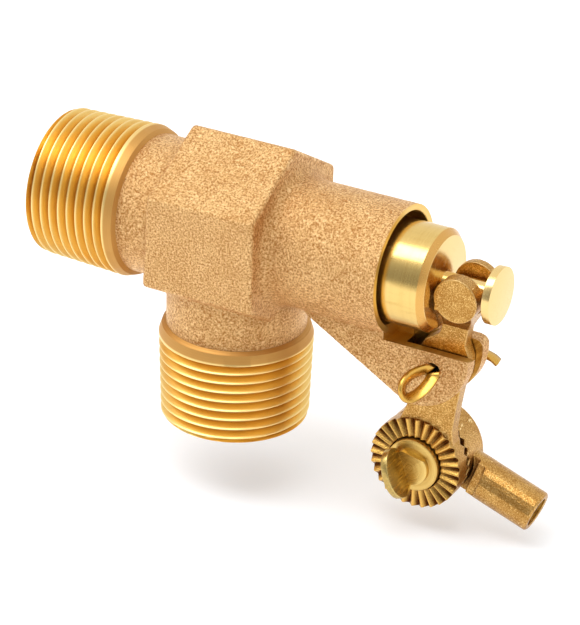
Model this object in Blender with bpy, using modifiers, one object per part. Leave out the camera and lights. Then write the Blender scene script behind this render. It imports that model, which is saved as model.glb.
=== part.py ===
"""Float valve: a cast tee body with a plunger that a float lever pushes on to its seat.

Frame: origin at the centre of the inlet's end face, +X along the plunger towards its button,
+Z up and -Y towards the side that the cotter pin's eye and the thumb screw are on.
Lengths below are in millimetres; MM turns them into metres.
"""
import math

import bmesh
import bpy
from mathutils import Matrix, Vector

MM = 0.001
GAP = 0.3                     # clearance that separate pieces keep to each other

# pipe threads, 1 inch NPT
PITCH = 25.4 / 11.5
CREST_R = 16.58
THREAD_DEPTH = 0.8 * PITCH
TAPER = 1 / 32                # loss of radius per length
CRESTS = 9
THREAD_EDGE = 0.25            # chamfer of the end face
LAST_VALLEY = 0.7             # depth of the groove that the end face cuts short
SHOULDER = (0.9, 0.6)         # how much the thread's first turn widens from the neck, and in what length
THREAD_STEPS = 32
INLET_CREST_X = 19.46         # the crest nearest the block
OUTLET_CREST_Z = -24.79

# body casting
TEE_X = 43.0                  # where the outlet's axis crosses the plunger's
NECK_R = 15.0
INLET_NECK_X = 22.0
BLOCK_X = (31.0, 56.1)
BLOCK_SIDE = 20.46            # half the distance across corners
BLOCK_EDGE = 1.0
BLOCK_LEAN = 0.05             # how far the face to the inlet leans, per height
BLOCK_LEAN_Z = 10.2           # height at which it stands at BLOCK_X
OUTLET_NECK_Z = -22.1
OUTLET_END_Z = -43.5
HOUSING_R = 13.58
HOUSING_END_X = 81.9

# waterway
BORE_STEPS = 36
INLET_BORE_R = 11.6
SEAT_WALL_X = (28.0, 36.0)
SEAT_HOLE_R = 9.3
CHAMBER_R = 12.6
CHAMBER_END_X = 57.0
GUIDE_R = 11.23
MOUTH_R = 12.2
MOUTH_X = 75.0
OUTLET_BORE_R = 11.5
OUTLET_BORE_TOP_Z = -11.0

# bracket with the two ears
EAR_Y = 5.15
EAR_ARC = (87.3, -15.2, 12.4)         # x, z and radius of the rounded end
BRACKET_START = (61.0, -12.0)
BRACKET_KNEE = (85.8, -27.4)
BRACKET_ROOT = (62.6, -13.8)
RELIEF_X = 80.4                       # turned face below the mouth
RELIEF_R = 15.4
RELIEF_STEPS = 48
REAR_EAR_TOP_Z = -12.6
EAR_CORNER_R = 1.8
SLOT_Y = 1.85
SLOT_X = 84.1
SLOT_Z = (-33.0, -9.4)
PIVOT = (91.9, -18.5)
PIN_HOLE_R = 1.75
PIN_STEPS = 16
OPEN_END_X = 105.0                    # past every ear, for the tools that cut them

# plunger
PLUNGER_Z = -0.5              # its axis runs a little below the housing's
PISTON_R = 10.93
PISTON_X = (58.0, 91.3)
PISTON_CHAMFER = 1.3
FRONT_R = 9.6
CUP_X = 46.5
CUP_DEPTH = 2.4
CUP_R = 8.3
RING_GROOVE_X = (65.6, 69.0)
RING_GROOVE_R = 8.9
STEM_R = 2.2
BUTTON_X = (102.19, 103.85)
BUTTON_R = 6.13
BUTTON_EDGE = 0.4
RING_R = 10.1                 # the O-ring's centre line, and its section below
RING_SECTION_R = 0.88
SCREW_HOLE_R = 1.9
SCREW_HOLE_X = 56.0

# seat, its disc and what holds the disc
SEAT_LIP_X = 38.8
SEAT_LIP_WIDTH = (1.0, 1.6)   # at its top and its foot
SEAT_FLANGE_X = 38.1
SEAT_FLANGE_R = 10.6
SEAT_START_X = 28.5
SEAT_BORE_R = 6.0
DISC_X = (45.5, 48.6)
DISC_R = 8.0
DISC_EDGE = 0.3
DISC_HOLE_R = 2.0
WASHER_X = (44.1, 45.2)
WASHER_R = 4.6
DISC_SCREW_HEAD_X = (41.6, 43.8)
DISC_SCREW_HEAD_R = 3.2
DISC_SCREW_R = 1.6
DISC_SCREW_END_X = 55.0
DISC_SCREW_EDGE = 0.5
DRIVER_SLOT = (0.45, 1.1)     # half width and depth

# lever, with outlines of (x, z)
WEB_Y = 1.55
WEB_OUTLINE = [
    (92.0, -8.9), (97.7, -8.9), (97.2, -13.0), (98.3, -15.8), (98.0, -20.0), (96.7, -23.5),
    (96.0, -28.0), (95.4, -33.5), (95.8, -37.0), (94.75, -42.85), (87.55, -49.75), (80.35, -42.85),
    (79.2, -38.5), (81.4, -35.8), (83.3, -33.6), (84.7, -30.0), (85.6, -25.5), (86.0, -20.5),
    (86.7, -16.4), (88.2, -13.6), (91.3, -11.4),
]
FORK_OUTLINE = [(91.9, -9.6), (97.5, -9.6), (100.7, -3.0), (100.7, -0.8), (92.1, -0.8)]
FORK_SECTION = [                      # (y, z) round the two arms, from the front one's foot
    (-1.55, -10.0), (-1.55, -9.2), (-2.7, -7.0), (-6.3, -3.9), (-6.3, 0.0), (-3.2, 0.0), (-3.2, -3.4),
    (-2.2, -4.7), (-0.6, -5.2), (0.6, -5.2), (2.2, -4.7), (3.2, -3.4), (3.2, 0.0), (5.1, 0.0),
    (5.1, -3.9), (2.7, -7.0), (1.55, -9.2), (1.55, -10.0),
]
KNUCKLE = (96.6, -1.0)
KNUCKLE_R = 4.8
FRONT_KNUCKLE_Y = (-6.3, -3.2)
REAR_KNUCKLE_Y = (3.2, 5.1)
CLAMP = (87.55, -42.85)
CLAMP_R = 10.3
CLAMP_Y = (-2.6, 2.25)
TEETH = 28
TOOTH_DEPTH = 1.1
TOOTH_FADE = 0.55                     # share of the depth left at the teeth's inner ends
SERRATION_INNER_R = 6.15

# float arm socket
SOCKET_Y = (2.55, 10.0)
SOCKET_R = 10.1
TUBE_Y = 6.5
TUBE_R = 4.6
TUBE_REACH = 26.2
TUBE_DROP = math.radians(19.4)
TUBE_EDGE = 0.4
TUBE_ROOT = 6.5                       # the tube starts inside the hub
NOTCH = [                             # (radius, y) of the room turned round the lever's disc
    (0, 3.8), (9.9, 3.8), (9.9, 5.4), (11.8, 5.4), (11.8, 4.4), (13.3, 4.4), (13.3, 0), (0, 0),
]
ROD_HOLE_R = 3.3
ROD_HOLE_DEPTH = 12.5

# thumb screw
SHANK_R = 3.1
SHANK_END_Y = 9.5
SHANK_EDGE = 0.5
FLANGE_R = 5.85
FLANGE_Y = (-3.4, -1.1)
FLANGE_SEAT_R = 6.17
BOSS_R = 4.0                          # the low boss that the tab stands on
BOSS_Y = -4.7
TAB_AXES = (5.5, 4.3)                 # half width and half height of the rounded tab
TAB_Y = -6.8
TAB_WAIST = 53                        # angle below its widest where the tab's sides run straight
TAB_OFFSET = -2.15                    # the tab stands off the screw's axis
TAB_THICKNESS = 1.5
TAB_ROOT = 1.4                        # how far the tab runs into the flange
TAB_TURN = math.radians(-22.5)

# cotter pin
WIRE_R = 0.7
LEG_SPACING = 1.5
EYE_LENGTH = 8.0
EYE_HALF_WIDTH = 2.25
EYE_TAPER = 0.35                      # how much wider the eye is away from the hole
EYE_POINTS = 20
LOWER_BULGE = 0.65                    # the eye's lower wire runs straighter than its upper one
EYE_Y = -5.7                          # where the wires meet in front of the ear
EYE_OUT = Vector((-0.35, -0.825, -0.445))
EYE_SIDE = Vector((-0.65, -0.12, 0.75))
LEG_SIDE = Vector((-0.816, 0.0, 0.577))
LEG_ROUTE = [                         # along the leg's side, y, and up or down from its hole
    (0.0, 5.4, 0.0), (0.4, 6.5, 0.2), (1.5, 7.2, 0.3), (4.5, 7.8, 0.0), (6.7, 8.0, -0.6), (8.1, 8.2, -1.6),
]

COLOURS = {
    "cast": (0.68, 0.50, 0.30, 1, 0.55, 0.9),
    "bronze": (0.60, 0.42, 0.20, 1, 0.40, 0.95),
    "brass": (0.83, 0.66, 0.32, 1, 0.22, 1.0),
    "rubber": (0.02, 0.02, 0.02, 1, 0.6, 0.0),
}


def clear_scene():
    for thing in list(bpy.data.objects):
        bpy.data.objects.remove(thing)


def make_collection(name):
    group = bpy.data.collections.new(name)
    bpy.context.scene.collection.children.link(group)
    return group


def material(name):
    red, green, blue, alpha, roughness, metallic = COLOURS[name]
    made = bpy.data.materials.get(name) or bpy.data.materials.new(name)
    made.use_nodes = True
    shader = made.node_tree.nodes["Principled BSDF"]
    shader.inputs["Base Color"].default_value = (red, green, blue, alpha)
    shader.inputs["Roughness"].default_value = roughness
    shader.inputs["Metallic"].default_value = metallic
    return made


def add_object(name, mesh, finish=None):
    """Puts a mesh in the scene, as a part of the valve or, without a finish, as a cutter."""
    thing = bpy.data.objects.new(name, mesh)
    if finish:
        PARTS.objects.link(thing)
        mesh.materials.append(material(finish))
    else:
        CUTTERS.objects.link(thing)
        thing.hide_render = True
        thing.display_type = "WIRE"
    return thing


def mesh_from(bm, name):
    bmesh.ops.recalc_face_normals(bm, faces=bm.faces)
    mesh = bpy.data.meshes.new(name)
    bm.to_mesh(mesh)
    bm.free()
    return mesh


def along_x():
    """Turns a shape made about Z so that its top points along +X."""
    return Matrix.Rotation(math.radians(90), 4, "Y")


def on_plunger_axis():
    return spot(0, 0, PLUNGER_Z) @ along_x()


def along_y():
    """Turns a shape made about Z so that its top points along +Y."""
    return Matrix.Rotation(math.radians(-90), 4, "X")


def spot(x, y, z):
    return Matrix.Translation(Vector((x, y, z)) * MM)


def at_axis(centre):
    """The place of a shape whose axis runs along +Y through (x, z)."""
    return spot(centre[0], 0, centre[1]) @ along_y()


def turned(name, profile, steps, place, finish=None):
    """Screws a profile of (radius, height) points, run down the outer side, about its axis."""
    mesh = bpy.data.meshes.new(name)
    points = [(r * MM, 0, h * MM) for r, h in profile]
    closed = profile[0][0] > 0
    edges = [(i, i + 1) for i in range(len(points) - 1)]
    if closed:
        edges.append((len(points) - 1, 0))
    mesh.from_pydata(points, edges, [])
    thing = add_object(name, mesh, finish)
    screw = thing.modifiers.new("turn", "SCREW")
    screw.steps = steps
    screw.render_steps = steps
    screw.use_merge_vertices = True
    screw.merge_threshold = 0.00001
    thing.matrix_world = place
    return thing


def cylinder(name, radius, low, high, place, steps):
    """A plain cylinder from low to high along its own Z, to cut or to join."""
    bm = bmesh.new()
    bmesh.ops.create_cone(bm, cap_ends=True, segments=steps, radius1=radius * MM,
                          radius2=radius * MM, depth=(high - low) * MM,
                          matrix=Matrix.Translation((0, 0, (low + high) / 2 * MM)))
    thing = add_object(name, mesh_from(bm, name))
    thing.matrix_world = place
    return thing


def block(name, low, high):
    """A box to cut with, between two corners."""
    bm = bmesh.new()
    size = [(b - a) * MM for a, b in zip(low, high)]
    middle = [(a + b) / 2 * MM for a, b in zip(low, high)]
    bmesh.ops.create_cube(bm, size=1, matrix=Matrix.Translation(middle) @ Matrix.Diagonal(size + [1]))
    return add_object(name, mesh_from(bm, name))


def plate(name, outline, low_y, high_y, finish=None, plane="XZ"):
    """Extrudes an outline: of (x, z) points along Y, or in plane YZ of (y, z) points along X."""
    curve = bpy.data.curves.new(name, "CURVE")
    curve.dimensions = "2D"
    curve.fill_mode = "BOTH"
    curve.extrude = (high_y - low_y) / 2 * MM
    spline = curve.splines.new("POLY")
    spline.points.add(len(outline) - 1)
    for point, (u, v) in zip(spline.points, outline):
        point.co = (u * MM, v * MM, 0, 1)
    spline.use_cyclic_u = True
    middle = (low_y + high_y) / 2
    if plane == "XZ":
        place = spot(0, middle, 0) @ Matrix.Rotation(math.radians(90), 4, "X")
    else:
        turn = Matrix(((0, 0, 1, 0), (1, 0, 0, 0), (0, 1, 0, 0), (0, 0, 0, 1)))
        place = spot(middle, 0, 0) @ turn
    return solid_from_curve(name, curve, place, finish)


def solid_from_curve(name, curve, place, finish=None):
    """Makes a mesh object of a curve, with its loose caps welded on."""
    drawn = bpy.data.objects.new(name + "_curve", curve)
    CUTTERS.objects.link(drawn)
    drawn.matrix_world = place
    bpy.context.view_layer.update()
    shape = bpy.data.meshes.new_from_object(drawn.evaluated_get(bpy.context.evaluated_depsgraph_get()))
    bm = bmesh.new()
    bm.from_mesh(shape)
    bmesh.ops.remove_doubles(bm, verts=bm.verts, dist=0.000005)
    thing = add_object(name, mesh_from(bm, name), finish)
    thing.matrix_world = drawn.matrix_world
    bpy.data.objects.remove(drawn)
    bpy.data.meshes.remove(shape)
    return thing


def combine(thing, other, operation):
    """Cuts, joins or intersects thing with other, exactly."""
    step = thing.modifiers.new(other.name, "BOOLEAN")
    step.operation = operation
    step.solver = "EXACT"
    step.object = other


def smooth(thing, angle=35):
    thing.data.shade_smooth()
    thing.data.set_sharp_from_angle(angle=math.radians(angle))


def move_origin(thing, place):
    """Puts the thing's origin at place, on its joint's axis, and leaves its shape where it is."""
    thing.data.transform(place.inverted() @ thing.matrix_world)
    thing.matrix_world = place


def arc(centre_u, centre_v, radius, start, end, count):
    """Points on an arc, with its angles in degrees."""
    angles = [math.radians(start + (end - start) * i / (count - 1)) for i in range(count)]
    return [(centre_u + radius * math.cos(a), centre_v + radius * math.sin(a)) for a in angles]


def thread_profile(first_crest, end, root):
    """Outer side of a tapered thread, from its neck at root up to its end face."""
    widening, length = SHOULDER
    points = [(NECK_R, root), (NECK_R + widening, root + length)]
    for k in range(CRESTS):
        last = first_crest + k * PITCH
        crest = CREST_R - k * PITCH * TAPER
        if k:
            points.append((crest - THREAD_DEPTH, last - PITCH / 2))
        points.append((crest, last))
    room = end - last
    edge = CREST_R - (end - first_crest) * TAPER
    points.append((crest - THREAD_DEPTH * LAST_VALLEY * room / PITCH, last + room / 2))
    points.append((edge, end - THREAD_EDGE))
    points.append((edge - THREAD_EDGE, end))
    return points


def threaded_end(name, first_crest, end, root, place):
    """A solid neck with its male thread; heights run from the tee's centre outwards."""
    outer = thread_profile(first_crest, end, root)
    rod = [(0, end)] + outer[::-1] + [(NECK_R, 0), (0, 0)]
    return turned(name, rod, THREAD_STEPS, place)


def valve_body():
    body = hexagon()
    inlet_turn = spot(TEE_X, 0, 0) @ Matrix.Rotation(math.radians(-90), 4, "Y")
    outlet_turn = spot(TEE_X, 0, 0) @ Matrix.Rotation(math.radians(180), 4, "X")
    pieces = [
        threaded_end("inlet_end", TEE_X - INLET_CREST_X, TEE_X, TEE_X - INLET_NECK_X, inlet_turn),
        threaded_end("outlet_end", -OUTLET_CREST_Z, -OUTLET_END_Z, -OUTLET_NECK_Z, outlet_turn),
        cylinder("housing", HOUSING_R, BLOCK_X[1] - 2, HOUSING_END_X, along_x(), BORE_STEPS),
        bracket(),
    ]
    for piece in pieces:
        combine(body, piece, "UNION")

    bores = [
        inlet_and_mouth(),
        waterway(),
        cylinder("outlet_bore", OUTLET_BORE_R, OUTLET_END_Z - 1, OUTLET_BORE_TOP_Z, spot(TEE_X, 0, 0),
                 BORE_STEPS),
        block("lever_slot", (SLOT_X, -SLOT_Y, SLOT_Z[0]), (OPEN_END_X, SLOT_Y, SLOT_Z[1])),
        cylinder("pin_hole", PIN_HOLE_R, -EAR_Y - 2, EAR_Y + 2, at_axis(PIVOT), PIN_STEPS),
        ear_relief(),
    ]
    for bore in bores:
        combine(body, bore, "DIFFERENCE")
    smooth(body)


def hexagon():
    """The tee's block, with corners at its top and its bottom."""
    bm = bmesh.new()
    bmesh.ops.create_cone(bm, cap_ends=True, segments=6, radius1=BLOCK_SIDE * MM,
                          radius2=BLOCK_SIDE * MM, depth=(BLOCK_X[1] - BLOCK_X[0]) * MM,
                          matrix=Matrix.Rotation(math.radians(90), 4, "Z"))
    body = add_object("valve_body", mesh_from(bm, "valve_body"), "cast")
    middle = (BLOCK_X[0] + BLOCK_X[1]) / 2
    body.data.transform(spot(middle, 0, 0) @ along_x())
    for corner in body.data.vertices:
        if corner.co.x < middle * MM:
            corner.co.x -= BLOCK_LEAN * (BLOCK_LEAN_Z * MM - corner.co.z)
    edges = body.modifiers.new("edges", "BEVEL")
    edges.width = BLOCK_EDGE * MM
    edges.segments = 2
    return body


def inlet_and_mouth():
    """The two bores on the housing's axis, joined by a core inside the others."""
    core = SEAT_HOLE_R - 1
    profile = [
        (0, HOUSING_END_X + 1), (MOUTH_R, HOUSING_END_X + 1), (MOUTH_R, MOUTH_X), (core, MOUTH_X),
        (core, SEAT_WALL_X[0]), (INLET_BORE_R, SEAT_WALL_X[0]), (INLET_BORE_R, -1), (0, -1),
    ]
    return turned("inlet_and_mouth", profile, BORE_STEPS, along_x())


def waterway():
    """Threaded hole for the seat, chamber and plunger guide, on the plunger's axis."""
    low, high = SEAT_WALL_X
    profile = [
        (0, MOUTH_X + 1), (GUIDE_R, MOUTH_X + 1), (GUIDE_R, CHAMBER_END_X), (CHAMBER_R, CHAMBER_END_X),
        (CHAMBER_R, high), (SEAT_HOLE_R, high), (SEAT_HOLE_R, low - 1), (0, low - 1),
    ]
    return turned("waterway", profile, BORE_STEPS, on_plunger_axis())


def bracket():
    """The web below the housing that ends in the two ears."""
    x, z, radius = EAR_ARC
    corner = REAR_EAR_TOP_Z - EAR_CORNER_R
    outline = [BRACKET_START, BRACKET_ROOT, BRACKET_KNEE]
    outline += arc(x, z, radius, -88, -4, 12)
    outline += arc(x + radius - EAR_CORNER_R, corner, EAR_CORNER_R, 0, 90, 5)
    outline += [(HOUSING_END_X - 4, REAR_EAR_TOP_Z)]
    return plate("bracket", outline, -EAR_Y, EAR_Y)


def ear_relief():
    """Room turned under the mouth, over the front ear and the housing's lip."""
    tool = cylinder("relief", RELIEF_R, RELIEF_X, OPEN_END_X - 1, along_x(), RELIEF_STEPS)
    window = block("relief_window", (RELIEF_X - 1, -EAR_Y - 1, -RELIEF_R - 2), (OPEN_END_X, SLOT_Y - 0.2, -8))
    combine(tool, window, "INTERSECT")
    return tool


def seat_ring():
    """The seat, whose lip the disc closes on; its sleeve fills the hole in the body's wall."""
    flange_x = SEAT_WALL_X[1] + GAP
    lip_top, lip_foot = SEAT_LIP_WIDTH
    profile = [
        (SEAT_BORE_R, SEAT_LIP_X), (SEAT_BORE_R + lip_top, SEAT_LIP_X),
        (SEAT_BORE_R + lip_foot, SEAT_FLANGE_X), (SEAT_FLANGE_R, SEAT_FLANGE_X),
        (SEAT_FLANGE_R, flange_x), (SEAT_HOLE_R - GAP, flange_x),
        (SEAT_HOLE_R - GAP, SEAT_START_X), (SEAT_BORE_R, SEAT_START_X),
    ]
    smooth(turned("seat_ring", profile, 32, on_plunger_axis(), "brass"))


def plunger():
    """Piston, stem and button, turned from one bar."""
    cup = CUP_X + CUP_DEPTH
    profile = [
        (0, BUTTON_X[1]), (BUTTON_R - BUTTON_EDGE, BUTTON_X[1]), (BUTTON_R, BUTTON_X[1] - BUTTON_EDGE),
        (BUTTON_R, BUTTON_X[0]), (STEM_R, BUTTON_X[0]), (STEM_R, PISTON_X[1]),
        (PISTON_R - PISTON_CHAMFER, PISTON_X[1]), (PISTON_R, PISTON_X[1] - PISTON_CHAMFER),
        (PISTON_R, RING_GROOVE_X[1]), (RING_GROOVE_R, RING_GROOVE_X[1]),
        (RING_GROOVE_R, RING_GROOVE_X[0]), (PISTON_R, RING_GROOVE_X[0]),
        (PISTON_R, PISTON_X[0]), (FRONT_R, PISTON_X[0]), (FRONT_R, CUP_X), (CUP_R, CUP_X),
        (CUP_R, cup), (SCREW_HOLE_R, cup), (SCREW_HOLE_R, SCREW_HOLE_X), (0, SCREW_HOLE_X),
    ]
    smooth(turned("plunger", profile, 40, on_plunger_axis(), "brass"))


def piston_o_ring():
    """A ring of round section, midway in the piston's groove."""
    middle = (RING_GROOVE_X[0] + RING_GROOVE_X[1]) / 2
    profile = arc(RING_R, middle, RING_SECTION_R, 90, -225, 8)
    smooth(turned("piston_o_ring", profile, 32, on_plunger_axis(), "rubber"), 60)


def seat_disc():
    """The rubber disc in the plunger's cup."""
    low, high = DISC_X
    profile = [
        (DISC_HOLE_R, high), (DISC_R, high), (DISC_R, low + DISC_EDGE), (DISC_R - DISC_EDGE, low),
        (DISC_HOLE_R, low),
    ]
    smooth(turned("seat_disc", profile, 32, on_plunger_axis(), "rubber"))


def disc_washer():
    low, high = WASHER_X
    profile = [(DISC_HOLE_R, high), (WASHER_R, high), (WASHER_R, low), (DISC_HOLE_R, low)]
    smooth(turned("disc_washer", profile, 24, on_plunger_axis(), "brass"))


def disc_screw():
    """The slotted screw that holds the disc and its washer."""
    head_low, head_high = DISC_SCREW_HEAD_X
    half_width, depth = DRIVER_SLOT
    profile = [
        (0, DISC_SCREW_END_X), (DISC_SCREW_R, DISC_SCREW_END_X), (DISC_SCREW_R, head_high),
        (DISC_SCREW_HEAD_R, head_high), (DISC_SCREW_HEAD_R, head_low + DISC_SCREW_EDGE),
        (DISC_SCREW_HEAD_R - DISC_SCREW_EDGE, head_low), (0, head_low),
    ]
    screw = turned("disc_screw", profile, 16, on_plunger_axis(), "brass")
    reach = DISC_SCREW_HEAD_R + 1
    slot = block("driver_slot", (head_low - 1, -half_width, PLUNGER_Z - reach),
                 (head_low + depth, half_width, PLUNGER_Z + reach))
    combine(screw, slot, "DIFFERENCE")
    smooth(screw)


def serrated_disc(name, inner, outer, low_y, high_y, centre, teeth_low, teeth_high, finish=None):
    """A ring about Y whose ends can carry radial V teeth that fade towards the bore."""
    bm = bmesh.new()
    rings = []
    for i in range(2 * TEETH):
        angle = math.pi * i / TEETH
        valley = i % 2
        row = []
        for radius, end, sign, toothed, share in (
            (inner, low_y, 1, teeth_low, TOOTH_FADE), (outer, low_y, 1, teeth_low, 1),
            (outer, high_y, -1, teeth_high, 1), (inner, high_y, -1, teeth_high, TOOTH_FADE),
        ):
            depth = TOOTH_DEPTH * share * valley * toothed
            x = centre[0] + radius * math.cos(angle)
            z = centre[1] + radius * math.sin(angle)
            row.append(bm.verts.new(Vector((x, end + sign * depth, z)) * MM))
        rings.append(row)
    for i, row in enumerate(rings):
        after = rings[(i + 1) % len(rings)]
        for a in range(4):
            b = (a + 1) % 4
            bm.faces.new((row[a], row[b], after[b], after[a]))
    return add_object(name, mesh_from(bm, name), finish)


def lever():
    """Fork, web and serrated clamp disc, cast in one piece."""
    body = plate("lever", WEB_OUTLINE, -WEB_Y, WEB_Y, "bronze")
    fork = plate("fork", FORK_OUTLINE, FRONT_KNUCKLE_Y[0] - 1, REAR_KNUCKLE_Y[1] + 1)
    section = plate("fork_section", FORK_SECTION, SLOT_X, OPEN_END_X, plane="YZ")
    combine(fork, section, "INTERSECT")
    combine(body, fork, "UNION")
    for name, (low, high) in (("front_knuckle", FRONT_KNUCKLE_Y), ("rear_knuckle", REAR_KNUCKLE_Y)):
        combine(body, cylinder(name, KNUCKLE_R, low, high, at_axis(KNUCKLE), 32), "UNION")
    disc = serrated_disc("clamp_disc", SERRATION_INNER_R, CLAMP_R, *CLAMP_Y, CLAMP, 1, 1)
    combine(body, disc, "UNION")

    seat_y = FLANGE_Y[1] + GAP
    holes = [
        cylinder("pivot_hole", PIN_HOLE_R, -WEB_Y - 1, WEB_Y + 1, at_axis(PIVOT), PIN_STEPS),
        cylinder("clamp_bore", SHANK_R + GAP, CLAMP_Y[0] - 1, CLAMP_Y[1] + 1, at_axis(CLAMP), 24),
        cylinder("flange_seat", FLANGE_SEAT_R, CLAMP_Y[0] - 1, seat_y, at_axis(CLAMP), 28),
    ]
    for hole in holes:
        combine(body, hole, "DIFFERENCE")
    move_origin(body, spot(PIVOT[0], 0, PIVOT[1]))
    smooth(body)


def float_arm_socket():
    """Serrated hub with the tube that the float's rod screws into."""
    x, z = CLAMP
    body = serrated_disc("float_arm_socket", SHANK_R + GAP, SOCKET_R, *SOCKET_Y, CLAMP, 1, 0, "bronze")
    aim = spot(x, TUBE_Y, z) @ Matrix.Rotation(TUBE_DROP, 4, "Y") @ along_x()
    profile = [
        (0, TUBE_REACH), (TUBE_R - TUBE_EDGE, TUBE_REACH), (TUBE_R, TUBE_REACH - TUBE_EDGE),
        (TUBE_R, TUBE_ROOT), (0, TUBE_ROOT),
    ]
    tube = turned("tube", profile, 24, aim)
    combine(tube, turned("notch", NOTCH, 48, at_axis(CLAMP)), "DIFFERENCE")
    combine(body, tube, "UNION")
    hole = cylinder("rod_hole", ROD_HOLE_R, TUBE_REACH - ROD_HOLE_DEPTH, TUBE_REACH + 1, aim, 24)
    combine(body, hole, "DIFFERENCE")
    move_origin(body, spot(x, 0, z))
    smooth(body)


def thumb_screw():
    """Flanged screw with an offset rounded tab; its shank ends inside the socket's hub."""
    x, z = CLAMP
    low, high = FLANGE_Y
    profile = [
        (0, SHANK_END_Y), (SHANK_R - SHANK_EDGE, SHANK_END_Y), (SHANK_R, SHANK_END_Y - SHANK_EDGE),
        (SHANK_R, high), (FLANGE_R, high), (FLANGE_R, low), (BOSS_R, low), (BOSS_R, BOSS_Y), (0, BOSS_Y),
    ]
    screw = turned("thumb_screw", profile, 32, at_axis(CLAMP), "brass")
    half_width, half_height = TAB_AXES
    rounded = arc(0, 0, 1, -TAB_WAIST, 180 + TAB_WAIST, 20)
    outline = [(half_width * u, half_height * v - TAB_Y) for u, v in rounded]
    outline += [(outline[-1][0], -low - TAB_ROOT), (outline[0][0], -low - TAB_ROOT)]
    tab = plate("tab", outline, -TAB_THICKNESS / 2, TAB_THICKNESS / 2)
    stand = Matrix(((0, 1, 0, 0), (0, 0, -1, 0), (-1, 0, 0, 0), (0, 0, 0, 1)))
    place = spot(x, 0, z) @ Matrix.Rotation(TAB_TURN, 4, "Y") @ spot(TAB_OFFSET, 0, 0) @ stand
    tab.matrix_world = place @ tab.matrix_world
    combine(screw, tab, "UNION")
    smooth(screw)


def eye_point(share):
    """A point of the pin's eye, in the eye's own plane: 0 and 1 are the two wires at the hole."""
    angle = math.radians(360 * share)
    along = EYE_LENGTH * (1 - math.cos(angle)) / 2
    swing = math.sin(angle) * EYE_HALF_WIDTH * (1 - EYE_TAPER * math.cos(angle))
    if share > 0.5:
        swing *= LOWER_BULGE
    foot = LEG_SPACING / 2 * (0.5 + 0.5 * math.cos(angle)) * (1 if share < 0.5 else -1)
    return EYE_OUT * along + EYE_SIDE * swing + LEG_SIDE * foot


def cotter_pin():
    """One wire: a bent leg, the eye at the front and the other bent leg."""
    hole = Vector((PIVOT[0], EYE_Y, PIVOT[1]))
    eye = [hole + eye_point(i / EYE_POINTS) for i in range(1, EYE_POINTS)]
    legs = []
    for side in (1, -1):
        start = hole + LEG_SIDE * (side * LEG_SPACING / 2)
        legs.append([start] + [Vector((start.x - side * out, y, start.z + up)) for out, y, up in LEG_ROUTE])
    route = legs[0][::-1] + eye + legs[1]
    curve = bpy.data.curves.new("cotter_pin", "CURVE")
    curve.dimensions = "3D"
    curve.bevel_depth = WIRE_R * MM
    curve.bevel_resolution = 2
    curve.use_fill_caps = True
    spline = curve.splines.new("POLY")
    spline.points.add(len(route) - 1)
    for point, place in zip(spline.points, route):
        point.co = (*(place * MM), 1)
    smooth(solid_from_curve("cotter_pin", curve, Matrix.Identity(4), "brass"), 60)


clear_scene()
PARTS = make_collection("float_valve")
CUTTERS = make_collection("cutters")
valve_body()
seat_ring()
plunger()
piston_o_ring()
seat_disc()
disc_washer()
disc_screw()
lever()
float_arm_socket()
thumb_screw()
cotter_pin()
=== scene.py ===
"""Looks of the float valve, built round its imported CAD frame.

Same frame as the CAD: origin at the centre of the inlet's end face, +X along the plunger, +Z up.
Lengths below are in millimetres; MM turns them into metres.
"""

import math

import bmesh
import bpy
from mathutils import Matrix, Quaternion, Vector


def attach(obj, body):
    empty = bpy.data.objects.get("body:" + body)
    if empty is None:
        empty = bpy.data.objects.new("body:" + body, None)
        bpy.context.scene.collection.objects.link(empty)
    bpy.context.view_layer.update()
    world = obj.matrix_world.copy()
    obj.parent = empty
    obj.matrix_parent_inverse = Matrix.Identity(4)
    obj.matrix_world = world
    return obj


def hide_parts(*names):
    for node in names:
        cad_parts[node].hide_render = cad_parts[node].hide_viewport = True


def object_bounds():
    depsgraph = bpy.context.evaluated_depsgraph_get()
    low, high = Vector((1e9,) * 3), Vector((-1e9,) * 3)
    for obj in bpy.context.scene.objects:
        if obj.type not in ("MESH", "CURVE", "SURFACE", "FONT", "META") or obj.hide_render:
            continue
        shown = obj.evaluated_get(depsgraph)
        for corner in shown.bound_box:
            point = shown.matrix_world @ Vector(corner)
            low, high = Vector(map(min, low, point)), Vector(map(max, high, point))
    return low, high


MM = 0.001

# camera, in degrees and millimetres
CAMERA_AT = (320.72, -492.79, 266.95)
CAMERA_AZIMUTH = 28.262
CAMERA_ELEVATION = 26.916
CAMERA_ROLL = 1.685
CAMERA_LENS = 172.07
SENSOR_WIDTH = 36
CLIP = (0.05, 20)             # in metres

# studio
FLOOR_REACH = 3000
FLOOR_DROP = 4                # the valve floats a little above the floor, so that its shadow is faint
FLOOR_GREY = 0.88
FLOOR_GLOW = 0.30
LIGHT_AIM = (57, 0, -16)
LIGHT_FROM = (-250, -300, 800)        # seen from where it aims
LIGHT_SIZE = (1200, 420)
LIGHT_POWER = 6.5
LIGHT_COLOUR = (0.94, 0.97, 1.04)
DARK_SIDE = (0.15, -0.98, -0.10)      # where the room is darkest, seen from the valve
ROOM_BRIGHT = 1.02
ROOM_DARK = 0.34

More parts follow.
